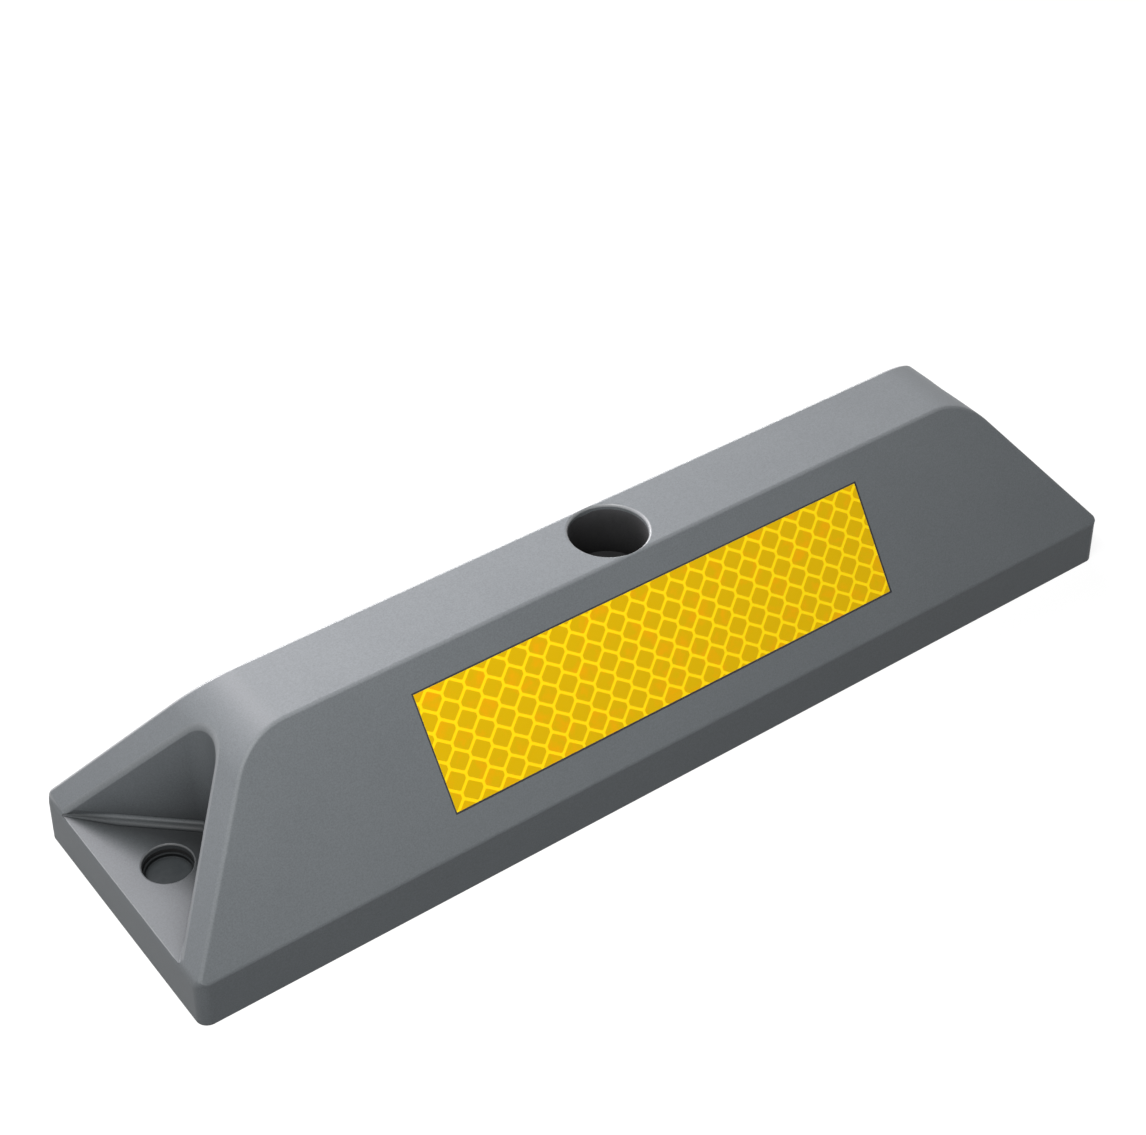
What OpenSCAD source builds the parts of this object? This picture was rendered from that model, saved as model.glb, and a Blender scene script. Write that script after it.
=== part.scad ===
// Parking block: a wheel stop that is bolted across the end of a parking bay.
// A cored black rubber core carries a grey moulded skin, a reflective sheet on its
// front slope and a push-in cap over the bolt in each end recess.
// The origin is the centre of the base on the ground. X runs along the block,
// -Y is the front, with the reflective sheet, and Z is up.

/* [Block] */
// Length of the block
block_l = 560; // [500:5:640]
// Width of the block at the ground
block_w = 150; // [145:1:170]
// Height of the block
block_h = 104; // [98:1:115]
// Height of the plinth below the slopes and ramps
plinth_h = 26; // [23:1:30]
// Width of the flat top between the side slopes
top_w = 42; // [42:1:52]
// Lean of the plinth walls over the height of the plinth
plinth_draft = 0.5; // [0.2:0.1:1.5]
// Angle of the end ramps above the ground
ramp_angle = 51; // [46:0.5:54]
// Radius where an end ramp rolls over into the top
ramp_roll_r = 40; // [20:1:50]
// Radius of the upright corners
corner_r = 5; // [4:0.5:8]
// Radius along the two long edges of the top
crease_r = 2; // [1:0.5:4]
// Radius where the plinth turns into the slopes and ramps
shoulder_r = 2.5; // [1:0.5:5]

/* [Skin] */
// Thickness of the grey skin over the core
skin_t = 3; // [2:0.5:4]
// Thickness of the lip of the core that carries the lower edge of the skin
lip_t = 1.2; // [0.8:0.1:2]

/* [End recesses] */
// Length of a recess from the end face to where its side walls would meet
recess_reach = 64.8; // [58:0.1:70]
// Angle between a recess side wall and the length of the block
recess_half_angle = 41.8; // [38:0.1:43]
// Radius that rounds the inner corner of a recess
recess_apex_r = 18; // [12:0.5:20]
// Width of the ledge along the foot of the recess walls
ledge_w = 4.5; // [3:0.5:6]
// Height of that ledge
ledge_h = 2; // [1:0.5:4]

/* [Anchor holes] */
// Diameter of the three holes that take the ground anchors
anchor_d = 20; // [14:0.5:20]
// Distance from an end face to the axis of its anchor hole
end_anchor_inset = 26.5; // [23:0.5:30]
// Diameter of the bore in a recess floor that holds a cap
cap_bore_d = 24.4; // [23:0.2:27]
// Depth of that bore below the recess floor
cap_bore_depth = 17; // [14:0.5:19]
// Diameter of the bore in the top that takes the middle anchor's head
head_bore_d = 40; // [32:0.5:40]
// Depth of that bore
head_bore_depth = 30; // [20:1:40]
// Width of the chamfer around the mouths of the bores
bore_chamfer = 1; // [0.4:0.2:1.4]

/* [Bolt caps] */
// Distance from the recess floor down to the rim of a cap
cap_sunk = 5; // [3:0.5:7]
// Radial clearance between a cap and its bore
cap_clearance = 0.05; // [0.02:0.01:0.1]
// Thickness of the round wall of a cap
cap_wall = 1.3; // [1:0.1:1.6]
// Width of the raised rim around the top of a cap
cap_rim_w = 1; // [0.6:0.1:1.5]
// Height of that rim above the disc inside it
cap_rim_h = 2.5; // [1.5:0.5:3.5]
// Thickness of that disc
cap_top_t = 2; // [1.5:0.1:3]
// Width of the chamfer around the outside of the rim
cap_chamfer = 0.3; // [0.1:0.1:0.5]

/* [Reflective sheet] */
// Length of the reflective sheet
sheet_l = 269; // [200:1:300]
// Width of the sheet, measured up the slope
sheet_w = 59.5; // [45:0.5:62]
// Thickness of the sheet
sheet_t = 0.5; // [0.3:0.1:0.8]
// Distance up the slope from the plinth to the lower edge of the sheet
sheet_up = 18.4; // [12:0.1:20]
// Thickness of the adhesive backing under the sheet
backing_t = 0.4; // [0.2:0.1:0.6]
// Width of backing that shows around the sheet
backing_border = 1; // [0.5:0.1:2]

/* [Cored underside] */
// Diameter of the large round pockets
pocket_d = 60.5; // [50:0.5:62]
// Distance between the centres of neighbouring pockets, both ways
pocket_pitch = 67.8; // [65:0.1:69]
// Depth of the large pockets, except under the end recesses, where it is less
pocket_depth = 45; // [35:1:50]
// Width of the solid rim around the pockets, which cuts the pockets straight
rim_w = 16.7; // [15:0.1:20]
// Rubber left between the pockets and the skin
roof_t = 10; // [8:0.5:12]
// Diameter of the small round holes between the pockets
small_hole_d = 20; // [14:0.5:20]
// Depth of the small holes
small_hole_depth = 45; // [20:1:60]
// Diameter of the boss that stands around each end anchor hole
boss_d = 39; // [37:0.5:42]

/* [Hidden] */
$fn = 96;
// Overshoot of a cut beyond the face that it opens
cut = 1;
// Overshoot of a long cut beyond the ends or sides of the block
reach = 20;
half_l = block_l / 2;
half_w = block_w / 2;
// Half length and half width of the plinth at its top
plinth_half_l = half_l - plinth_draft;
plinth_half_w = half_w - plinth_draft;
// Horizontal run of an end ramp, and half of the length of the top before it is rounded
ramp_run = (block_h - plinth_h) / tan(ramp_angle);
top_half_l = plinth_half_l - ramp_run;
// Rise and run of the side slopes
slope_rise = block_h - plinth_h;
slope_run = plinth_half_w - top_w / 2;
slope_angle = atan(slope_rise / slope_run);
end_anchor_x = half_l - end_anchor_inset;
cap_bore_z = plinth_h - cap_bore_depth;
cap_h = cap_bore_depth - cap_sunk;
cap_r = cap_bore_d / 2 - cap_clearance;
head_bore_z = block_h - head_bore_depth;
// Depth of the pockets under the floor of a recess, and how far from the middle that starts
end_pocket_depth = plinth_h - skin_t - roof_t;
end_pocket_x = half_l - recess_reach - skin_t - roof_t;
// Pockets in half a row, and small holes on each side of the middle: as many as fit
half_row = round((half_l - rim_w) / pocket_pitch);
half_holes = floor((half_l - recess_reach - small_hole_d / 2) / pocket_pitch);

// Half sections of the outer faces, carried one plinth height below the ground,
// so that they keep their lean when they are moved in
section_points = [
    [-half_w - plinth_draft, -plinth_h],
    [half_w + plinth_draft, -plinth_h],
    [plinth_half_w, plinth_h],
    [top_w / 2, block_h],
    [-top_w / 2, block_h],
    [-plinth_half_w, plinth_h]
];
section_radii = [0, 0, shoulder_r, crease_r, crease_r, shoulder_r];
profile_points = [
    [-half_l - plinth_draft, -plinth_h],
    [half_l + plinth_draft, -plinth_h],
    [plinth_half_l, plinth_h],
    [top_half_l, block_h],
    [-top_half_l, block_h],
    [-plinth_half_l, plinth_h]
];
profile_radii = [0, 0, shoulder_r, ramp_roll_r, ramp_roll_r, shoulder_r];
plan_points = [
    [-half_l, -half_w],
    [half_l, -half_w],
    [half_l, half_w],
    [-half_l, half_w]
];
plan_radii = [corner_r, corner_r, corner_r, corner_r];
// The recess runs out past the end face
recess_mouth = (recess_reach + reach) * tan(recess_half_angle);
recess_points = [
    [-half_l - reach, -recess_mouth],
    [-half_l + recess_reach, 0],
    [-half_l - reach, recess_mouth]
];
recess_radii = [0, recess_apex_r, 0];

// Direction from point p to point q
function heading(p, q) = (q - p) / norm(q - p);

// Corner q of an outline that runs anticlockwise through p, q and r, moved in by d
function moved_corner(p, q, r, d) =
    let (u = heading(p, q))
    let (v = heading(q, r))
    let (inward = [-u.y - v.y, u.x + v.x])
    q + d * inward / (1 + u * v);

// Corners of a convex outline with every side moved in by d
function moved_in(points, d) =
    let (n = len(points))
    [for (i = [0:n - 1])
        moved_corner(points[(i + n - 1) % n], points[i], points[(i + 1) % n], d)];

// The two points where a rounding of radius r leaves the sides at corner q
function rounding_ends(p, q, r_point, r) =
    let (u = heading(p, q))
    let (v = heading(q, r_point))
    let (back = r * tan(acos(u * v) / 2))
    [q - back * u, q + back * v];

// Radii of an outline's corners after its sides move in by d
function moved_radii(radii, d) = [for (r = radii) r == 0 ? 0 : max(r - d, 0)];

// A convex outline whose corners are rounded to the radii given
module rounded(points, radii) {
    n = len(points);
    polygon([for (i = [0:n - 1])
        for (end = rounding_ends(
            points[(i + n - 1) % n], points[i], points[(i + 1) % n], radii[i]))
            end]);
    for (i = [0:n - 1])
        if (radii[i] > 0)
            translate(moved_corner(
                points[(i + n - 1) % n], points[i], points[(i + 1) % n], radii[i]))
                circle(r = radii[i]);
}

// The block's outer form from height base up, with every face but its base moved in by d
module form(d, base = 0) {
    intersection() {
        rotate([90, 0, 90])
            linear_extrude(height = block_l + 2 * reach, center = true)
                rounded(moved_in(section_points, d), moved_radii(section_radii, d));
        rotate([90, 0, 0])
            linear_extrude(height = block_w + 2 * reach, center = true)
                rounded(moved_in(profile_points, d), moved_radii(profile_radii, d));
        translate([0, 0, base])
            linear_extrude(height = block_h - base + cut)
                rounded(moved_in(plan_points, d), moved_radii(plan_radii, d));
    }
}

// Both ends: the shape given for the left end, and its mirror image
module both_ends() {
    children();
    mirror([1, 0, 0])
        children();
}

// Upright shaft over the left recess, its walls moved out by d, from height z up
module recess_shaft(d, z) {
    translate([0, 0, z])
        linear_extrude(height = block_h)
            rounded(moved_in(recess_points, -d), moved_radii(recess_radii, -d));
}

// Space of the left recess above its floor and ledge, its faces moved out by d
module recess_space(d) {
    recess_shaft(d, plinth_h + ledge_h - d);
    recess_shaft(d - ledge_w, plinth_h - d);
}

// What the skin is moulded round: the outer form less the skin's thickness
module skin_core() {
    difference() {
        form(skin_t);
        both_ends()
            recess_space(skin_t);
    }
}

// Upright bore of diameter d from height low to height high, chamfered at its mouth
module bore(d, low, high) {
    translate([0, 0, low])
        cylinder(d = d, h = high - low + cut);
    translate([0, 0, high - bore_chamfer])
        cylinder(d1 = d, d2 = d + 2 * bore_chamfer, h = bore_chamfer);
    translate([0, 0, high])
        cylinder(d = d + 2 * bore_chamfer, h = cut);
}

// The bores that start at the outside: one over each end anchor and one in the top
module head_bores() {
    both_ends()
        translate([-end_anchor_x, 0, 0])
            bore(cap_bore_d, cap_bore_z, plinth_h);
    bore(head_bore_d, head_bore_z, block_h);
}

// One large pocket's outline, cut straight where it would run into the rim
module pocket_outline(x, y) {
    intersection() {
        translate([x, y])
            circle(d = pocket_d);
        square([block_l - 2 * rim_w, block_w - 2 * rim_w], center = true);
    }
}

// The large pockets: two rows, with flat roofs that bend down along the side slopes
module pockets() {
    difference() {
        intersection() {
            translate([0, 0, -cut])
                linear_extrude(height = pocket_depth + cut)
                    for (i = [-half_row:half_row - 1], side = [-1, 1])
                        pocket_outline((i + 1 / 2) * pocket_pitch, side * pocket_pitch / 2);
            form(skin_t + roof_t, -cut);
        }
        both_ends() {
            translate([-half_l, -half_w, end_pocket_depth])
                cube([half_l - end_pocket_x, block_w, block_h]);
            translate([-end_anchor_x, 0, -2 * cut])
                cylinder(d = boss_d, h = plinth_h);
        }
    }
}

// The small blind holes on the centre line, between the pockets
module small_holes() {
    for (i = [-half_holes:half_holes])
        if (i != 0)
            translate([i * pocket_pitch, 0, -cut])
                cylinder(d = small_hole_d, h = small_hole_depth + cut);
}

module anchor_holes() {
    for (x = [-end_anchor_x, 0, end_anchor_x])
        translate([x, 0, -cut])
            cylinder(d = anchor_d, h = block_h);
}

module core() {
    color("#262728")
        difference() {
            union() {
                skin_core();
                intersection() {
                    form(0);
                    translate([-half_l, -half_w, 0])
                        cube([block_l, block_w, lip_t]);
                }
            }
            head_bores();
            anchor_holes();
            small_holes();
            pockets();
        }
}

// Moves a shape laid out on the ground plane onto the front slope: X stays along the
// block, Y runs up the slope from the plinth's edge and Z stands out of it
module on_front_slope() {
    translate([0, -plinth_half_w, plinth_h])
        rotate([slope_angle, 0, 0])
            children();
}

// A flat rectangle on the slope, centred on the sheet, between two heights above it
module sheet_slab(border, low, high) {
    on_front_slope()
        translate([-sheet_l / 2 - border, sheet_up - border, low])
            cube([sheet_l + 2 * border, sheet_w + 2 * border, high - low]);
}

module outer_skin() {
    color("#75797c")
        difference() {
            form(0, lip_t);
            skin_core();
            both_ends()
                recess_space(0);
            head_bores();
            sheet_slab(backing_border, -sheet_t - backing_t, cut);
        }
}

module sheet_backing() {
    color("#2f3237")
        sheet_slab(backing_border, -sheet_t - backing_t, -sheet_t);
}

module reflective_sheet() {
    color("#f2c30a")
        sheet_slab(0, -sheet_t, 0);
}

// A cap seated in its bore: a shallow dish, hollow below over the anchor's head
module bolt_cap() {
    color("#5a5f62")
        translate([-end_anchor_x, 0, cap_bore_z])
            rotate_extrude()
                polygon([
                    [cap_r - cap_wall, 0],
                    [cap_r, 0],
                    [cap_r, cap_h - cap_chamfer],
                    [cap_r - cap_chamfer, cap_h],
                    [cap_r - cap_rim_w, cap_h],
                    [cap_r - cap_rim_w, cap_h - cap_rim_h],
                    [0, cap_h - cap_rim_h],
                    [0, cap_h - cap_rim_h - cap_top_t],
                    [cap_r - cap_wall, cap_h - cap_rim_h - cap_top_t]
                ]);
}

module left_bolt_cap() {
    bolt_cap();
}

module right_bolt_cap() {
    mirror([1, 0, 0])
        bolt_cap();
}

core();
outer_skin();
sheet_backing();
reflective_sheet();
left_bolt_cap();
right_bolt_cap();
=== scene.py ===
"""A parking block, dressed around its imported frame.

All six pieces are made here, with soft edges and with the finish of moulded rubber, plastic
and film, and each stands for the frame's node of its name. The core's form is the frame's own.
Lengths are in millimetres until a mesh is finished, which scales it to metres.
"""
import math

import bmesh
import bpy
from mathutils import Matrix, Vector


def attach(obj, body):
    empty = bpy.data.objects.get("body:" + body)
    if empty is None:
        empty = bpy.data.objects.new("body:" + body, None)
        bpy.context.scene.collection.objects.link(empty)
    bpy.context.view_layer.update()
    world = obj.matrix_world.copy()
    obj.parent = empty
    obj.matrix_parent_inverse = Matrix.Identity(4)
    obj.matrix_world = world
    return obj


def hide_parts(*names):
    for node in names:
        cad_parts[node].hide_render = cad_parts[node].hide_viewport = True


MM = 0.001
UP = (0.0, 0.0, 1.0)

# Block
HALF_L = 280.0
HALF_W = 75.0
HEIGHT = 104.0
PLINTH_H = 26.0
TOP_HALF_W = 21.0
PLINTH_DRAFT = 0.5
RAMP_ANGLE = math.radians(51)
RAMP_RUN = (HEIGHT - PLINTH_H) / math.tan(RAMP_ANGLE)
TOP_HALF_L = HALF_L - PLINTH_DRAFT - RAMP_RUN
SLOPE_ANGLE = math.atan2(HEIGHT - PLINTH_H, HALF_W - PLINTH_DRAFT - TOP_HALF_W)
# The roll between each ramp and the top
ROLL_R = 40.0
ROLL_STEPS = 14
# Thickness of the skin, and of the core's lip that lies under its foot in the frame
SKIN_T = 3.0
LIP_T = 1.2
# How much of that lip is left to show under the skin, and how far inside the skin it may start
LIP_SHOWN = 0.3
LIP_CLEAR = 0.1

# End recesses
RECESS_REACH = 64.8
RECESS_HALF_ANGLE = math.radians(41.8)
RECESS_APEX_R = 18.0
RECESS_ARC_STEPS = 16
RECESS_SIDE_SHARES = (1.02, 0.98, 0.94, 0.9, 0.6, 0.3)
# The ledge around a recess floor, the upright at its foot, and the round between it and the wall
LEDGE_W = 4.5
LEDGE_H = 2.0
LEDGE_FOOT_H = 0.3
LEDGE_ROUND_W = 2.6
LEDGE_ROUND_STEPS = 5
WALL_FOOT_R = LEDGE_W - LEDGE_ROUND_W
WALL_FOOT_TURN = math.radians(75)
# The ledge fades out at the mouth: its share of the full size there, and the stretch of a side where it does
LEDGE_END_SHARE = 0.2
LEDGE_FADE_FROM = 0.98
LEDGE_FADE_OVER = 0.4
# Rounding around the mouth of a recess: across the ramp, and down the wall
MOUTH_ROUND_OUT = 2.4
MOUTH_ROUND_DOWN = 2.6
MOUTH_ROUND_STEPS = 5
MOUTH_ROUND_TURN = math.radians(80)
# How far a cutter goes past the round, out and up, and past the block
MOUTH_CLEAR_OUT = 1.5
MOUTH_CLEAR_UP = 1.0
REACH = 20.0
# The least rise from one ring of a cutter to the next
RING_RISE = 0.02
# Rounding of the edge where a recess floor meets the end of the block, and how far its cutter goes past it
SILL_ROUND = 1.4
SILL_STEPS = 5
SILL_TURN = math.radians(82)
SILL_CLEAR = 1.0
# Where that rounding is given, as shares of the floor's half width: it fades out at the ledge
SILL_FADED_ROUND = 0.4
SILL_END_CLEAR = 0.06
SILL_SECTIONS = ((-1.0, SILL_FADED_ROUND), (-0.92, SILL_ROUND), (0.92, SILL_ROUND), (1.0, SILL_FADED_ROUND))

# Bores and caps
END_ANCHOR_X = 253.5
CAP_BORE_R = 12.2
CAP_BORE_DEPTH = 17.0
HEAD_BORE_R = 20.0
HEAD_BORE_DEPTH = 30.0
CAP_BORE_MOUTH = 1.0
HEAD_BORE_MOUTH = 1.7
BORE_STEPS = 72
BORE_ROUND_STEPS = 4
BORE_ROUND_TURN = math.radians(75)
# How far the cutter of a bore goes past its rounded mouth, out and up, as shares of the round
BORE_CLEAR_OUT = 2.0
BORE_CLEAR_UP = 1 / 3
CAP_CLEARANCE = 0.05
CAP_WALL = 1.3
CAP_SUNK = 5.0
CAP_RIM_W = 1.0
CAP_RIM_H = 2.5
CAP_TOP_T = 2.0
# Rounding of a cap's edges
CAP_SOFT_R = 0.35
CAP_ROUND_STEPS = 3

# Reflective sheet
SHEET_HALF_L = 134.5
SHEET_W = 59.5
SHEET_T = 0.5
SHEET_UP = 18.4
BACKING_T = 0.4
BACKING_BORDER = 1.0
CELL_RELIEF = 0.08

# Corner radius of the plinth and of the core's foot, and that of the frame's own foot
FOOT_CORNER_R = 6.0
FRAME_CORNER_R = 5.0
FOOT_CORNER_STEP = math.radians(11.25)
# Faces of the skin, by where they lie
KINDS = ["rim", "wall", "slope", "crown", "recess", "recess_floor", "cut", "round", "mouth", "lip"]
# Rounding radius where two of those faces meet
SKIN_ROUNDINGS = {
    ("crown", "slope"): 2.6,
    ("crown", "wall"): 10.0,
    ("slope", "wall"): 3.8,
    ("wall", "wall"): FOOT_CORNER_R,
}
# And of the edge between the plinth and the rear slope, which is softer than the front one
REAR_PLINTH_ROUND = 7.5
# How strong the painted highlight and the gloss are on each kind of rounded face, and on the rear hips
EDGE_HIGHLIGHT_AND_GLOSS = {"round": 0.2, "mouth": 0.6, "lip": 1.7}
REAR_HIP_HIGHLIGHT_AND_GLOSS = 1.5
# Edges that turn less than the first aren't rounded, and those that turn more than the second stay sharp
SMOOTH_TURN = math.radians(9)
SHARP_TURN = math.radians(32)
ROUNDING_SEGMENTS = 4
# Rounding of the core's edges on the ground
CORE_ROUND = 0.7
CORE_ROUND_STEPS = 3
# Corners of a form that agree to this many decimals are one
CORNER_DECIMALS = 4
# Corners of a mesh nearer than this are one, points nearer than this lie on a face, and faces that turn
# less than this are level
MERGE = 0.002
TOUCH = 0.01
SKIN_LEVEL_TURN = math.radians(0.2)
CORE_LEVEL_TURN = math.radians(0.3)

# The pattern of the sheet, along the block and up the slope
FIRST_CELL = (-95.8, 64.7)
CELL_STEP_RIGHT = (6.82, -7.58)
CELL_STEP_LEFT = (-5.42, -8.0)
CELL_FLAT = 2.7
# A second grid of cells lies between the cells of the first, half a step along and up
HALF_STEP = (0.5, 0.5, 0.0)
CELL_COLUMNS = 47
CELL_ROWS = 15
SEAL_LINE_W = 1.5
CELL_CORNER_R = 0.9
CELL_CORNER_STEPS = 3
CELL_SUNK = 0.1
CELL_CROWN = 0.03
CELL_SEED = 7
CELL_CROWN_SHARE = 0.92
CELL_MERGE = 0.001
# The cells are cut off this share of the way out to the sheet's edges
CELL_CUT_SHARE = 0.9999
CELL_CUT_MERGE = 0.0001
# Bits of cells narrower than this are left out
SMALLEST_CELL = 0.4
# The least tone of a cell, where the seal lines have 0
LOWEST_CELL_TONE = 0.4
PRISMS_PER_METRE = 900.0
PRISM_RELIEF = 0.00004
PRISM_STRENGTH = 0.6
MISTS_PER_METRE = 110.0
MIST_DETAIL = 3.0
MIST_SPREAD = 2.6
WARM_RANGE = (0.75, 1.5)
SEAL_YELLOW = (0.80, 0.55, 0.004)
CELL_YELLOW = (0.54, 0.335, 0.0005)
CELL_ORANGE = (0.66, 0.30, 0.001)
# The prisms send light back to the eye, and a glow stands for it under the shine of the clear film
SHEET_GLOW = 0.6
SHEET_FILM = {"Roughness": 0.5, "Specular IOR Level": 0.1, "Coat Weight": 0.08, "Coat Roughness": 0.15}

# Noise: its detail, how broken up it is, between which of its values the tone changes, and its middle
PATCH_DETAIL = 8.0
PATCH_BREAK_UP = 0.7
PATCH_RANGE = (0.35, 0.65)
GRAIN_DETAIL = 2.0
GRAIN_RANGE = (0.3, 0.7)
EVEN_BREAK_UP = 0.5
NOISE_MIDDLE = 0.5
MIDDLE_GREY = (0.5, 0.5, 0.5, 1.0)
WHITE = (1.0, 1.0, 1.0, 1.0)
# Painted shade in hollows: how far a hollow reaches, in metres, how open its bottom and its mouth are, and
# its bottom's tone
HOLLOW_REACH = 0.05
HOLLOW_CLOSED = 0.42
HOLLOW_OPEN = 0.82
HOLLOW_PAINTED_SHADE = 0.25
HOLLOW_SAMPLES = 8
# Painted shadow in a recess, cast by its rear wall: its tone on the floor, there in the rear corner, and on
# the ledge, and how it thins out
RECESS_SHADOW_LIGHTEST = 0.88
RECESS_SHADOW_DARKEST = 0.32
RECESS_SHADOW_LEDGE_TONE = 0.6
RECESS_SHADOW_THINNING = 0.4
# Between which heights above the floor the tone changes, where the painted shadow ends, and where it starts
# inwards
RECESS_SHADOW_HEIGHTS = (1.5, 2.4)
RECESS_SHADOW_CLEAR = 0.1
RECESS_SHADOW_TOP = LEDGE_H + WALL_FOOT_R + RECESS_SHADOW_CLEAR
RECESS_SHADOW_START = 1.0
# Painted light and shade in the core's head bore: lighter near its mouth and darker down to its foot, and how
# far out from the bore wall it reaches
BORE_TOP_PAINTED_TONE = 4.8
BORE_FOOT_PAINTED_TONE = 0.1
BORE_PAINT_CLEAR = 1.0
# The tone of the painted shade on a cap's rim
RIM_SHADE_TONE = 0.4
# How much lighter the painted highlight makes those edges, and how much smoother they are
EDGE_HIGHLIGHT_TONE = 0.1
EDGE_GLOSS = 0.12

# Studio, in metres: the light from all round, the background, and the floor a little below the block
AMBIENT = 0.02
WORLD_SEEN = 1.0
FLOOR_HALF = 4.0
FLOOR_GAP = 0.0002
# The floor's colour for the light it throws back on the block, and its own where it is seen
FLOOR_BOUNCE = (0.055, 0.069, 0.083)
FLOOR_PALE = 0.16
FLOOR_GLOW = 0.9
# Each lamp's place, width, height, power in watts and colour
LAMPS = {
    "high key": ((-0.45, -0.15, 1.4), 0.5, 0.5, 4.5, (1.0, 1.0, 1.0)),
    "near key": ((-0.46, -0.34, 0.92), 0.5, 0.5, 7.8, (1.0, 1.0, 1.0)),
    "back sheen": ((-0.15, 0.60, 0.60), 0.24, 0.50, 5.6, (1.0, 0.925, 0.955)),
    "low back": ((0.3, 1.3, 0.35), 1.4, 0.4, 18.5, (1.0, 1.0, 1.0)),
    "under": ((0.0, -0.001, -1.0), 0.5, 0.12, 9.0, (1.0, 1.0, 1.0)),
}

# The camera: where it looks from, its lens, and where the block's origin lies in its view
CAMERA_AZIMUTH = math.radians(36.30)
CAMERA_ELEVATION = math.radians(40.12)
CAMERA_ROLL = math.radians(-0.25)
CAMERA_LENS = 75.09
CAMERA_SENSOR = 36.0
CAMERA_NEAREST = 0.05
ORIGIN_RIGHT = 16.99
ORIGIN_DOWN = 61.10
ORIGIN_AHEAD = 1238.33


def put_in_scene(name, mesh):
    """A new object for a mesh, in the scene and at the origin."""
    piece = bpy.data.objects.new(name, mesh)
    bpy.context.scene.collection.objects.link(piece)
    return piece


def remove(*pieces):
    """Deletes helper objects with their meshes."""
    for piece in pieces:
        mesh = piece.data
        bpy.data.objects.remove(piece)
        bpy.data.meshes.remove(mesh)


def baked(piece):
    """The piece with its modifiers applied and removed."""
    bpy.context.view_layer.update()
    depsgraph = bpy.context.evaluated_depsgraph_get()
    mesh = bpy.data.meshes.new_from_object(piece.evaluated_get(depsgraph), depsgraph=depsgraph)
    piece.modifiers.clear()
    old = piece.data
    piece.data = mesh
    bpy.data.meshes.remove(old)
    return piece


class Cage:
    """A closed shape built face by face, each face of one kind."""

    def __init__(self):
        self.bm = bmesh.new()
        self.corners = {}

    def corner(self, point):
        """The corner at a point, which all its faces share."""
        key = tuple(round(value, CORNER_DECIMALS) for value in point)
        if key not in self.corners:
            self.corners[key] = self.bm.verts.new(point)
        return self.corners[key]

    def face(self, points, kind):
        """One face through the points."""
        corners = [self.corner(point) for point in points]
        self.bm.faces.new(corners).material_index = KINDS.index(kind)

    def band(self, lower, upper, kinds, split=False):
        """Faces all round between two rings, whole or split in two, with a kind for each."""
        for i, kind in enumerate(kinds):
            j = (i + 1) % len(kinds)
            if split:
                self.face([lower[i], lower[j], upper[j]], kind)
                self.face([lower[i], upper[j], upper[i]], kind)
            else:
                self.face([lower[i], lower[j], upper[j], upper[i]], kind)

    def piece(self, name):
        """The finished form as an object."""
        bmesh.ops.recalc_face_normals(self.bm, faces=self.bm.faces)
        mesh = bpy.data.meshes.new(name)
        self.bm.to_mesh(mesh)
        self.bm.free()
        for _ in KINDS:
            mesh.materials.append(None)
        return put_in_scene(name, mesh)


def cut(piece, cutter):
    """Takes the cutter out of the piece."""
    boolean = piece.modifiers.new("cut", "BOOLEAN")
    boolean.object = cutter
    boolean.operation = "DIFFERENCE"
    boolean.solver = "EXACT"
    boolean.material_mode = "INDEX"
    baked(piece)
    remove(cutter)


def moved_corner(before, corner, after, distance):
    """A corner of an outline that runs anticlockwise, with both its sides moved in."""
    u = (corner - before).normalized()
    v = (after - corner).normalized()
    inward = Vector((-u.y - v.y, u.x + v.x))
    return corner + distance * inward / (1 + u.dot(v))


def half_corners(half_base, half_plinth, half_top, distance):
    """The plinth and top corners of one half of a section, with its faces moved in."""
    base = Vector((half_base, 0))
    plinth = Vector((half_plinth, PLINTH_H))
    top = Vector((half_top, HEIGHT))
    middle = Vector((0, HEIGHT))
    return (moved_corner(base, plinth, top, distance), moved_corner(plinth, top, middle, distance))


def block_form(name, distance, base, kind):
    """The block's outer form from a base height up, with its faces moved in by a distance.

    The faces are all of the kind given, or each of its own kind if that is None.
    """
    end, end_top = half_corners(HALF_L, HALF_L - PLINTH_DRAFT, TOP_HALF_L, distance)
    side, side_top = half_corners(HALF_W, HALF_W - PLINTH_DRAFT, TOP_HALF_W, distance)
    shoulder_z = (end.y + side.y) / 2
    top_z = end_top.y
    roll_r = ROLL_R - distance
    back = roll_r * math.tan(RAMP_ANGLE / 2)
    roll_x = end_top.x - back
    profile = [(end.x, shoulder_z)]
    for step in range(ROLL_STEPS + 1):
        turn = RAMP_ANGLE * (1 - step / ROLL_STEPS)
        profile.append((roll_x + roll_r * math.sin(turn), top_z - roll_r + roll_r * math.cos(turn)))

    def side_y(z):
        share = (z - shoulder_z) / (top_z - shoulder_z)
        return side.x + share * (side_top.x - side.x)

    outline = [(-x, z) for x, z in profile] + [(x, z) for x, z in reversed(profile)]
    base_x = HALF_L - distance - PLINTH_DRAFT * base / PLINTH_H
    base_y = HALF_W - distance - PLINTH_DRAFT * base / PLINTH_H
    cage = Cage()
    for (x0, z0), (x1, z1) in zip(outline[:-1], outline[1:]):
        cage.face([(x0, -side_y(z0), z0), (x1, -side_y(z1), z1),
                   (x1, side_y(z1), z1), (x0, side_y(z0), z0)], kind or "crown")
    for y in (-1, 1):
        cage.face([(x, y * side_y(z), z) for x, z in outline], kind or "slope")
        cage.face([(-end.x, y * side.x, shoulder_z), (end.x, y * side.x, shoulder_z),
                   (base_x, y * base_y, base), (-base_x, y * base_y, base)], kind or "wall")
    for x in (-1, 1):
        cage.face([(x * end.x, -side.x, shoulder_z), (x * end.x, side.x, shoulder_z),
                   (x * base_x, base_y, base), (x * base_x, -base_y, base)], kind or "wall")
    cage.face([(-base_x, -base_y, base), (base_x, -base_y, base),
               (base_x, base_y, base), (-base_x, base_y, base)], kind or "rim")
    return cage.piece(name)


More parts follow.
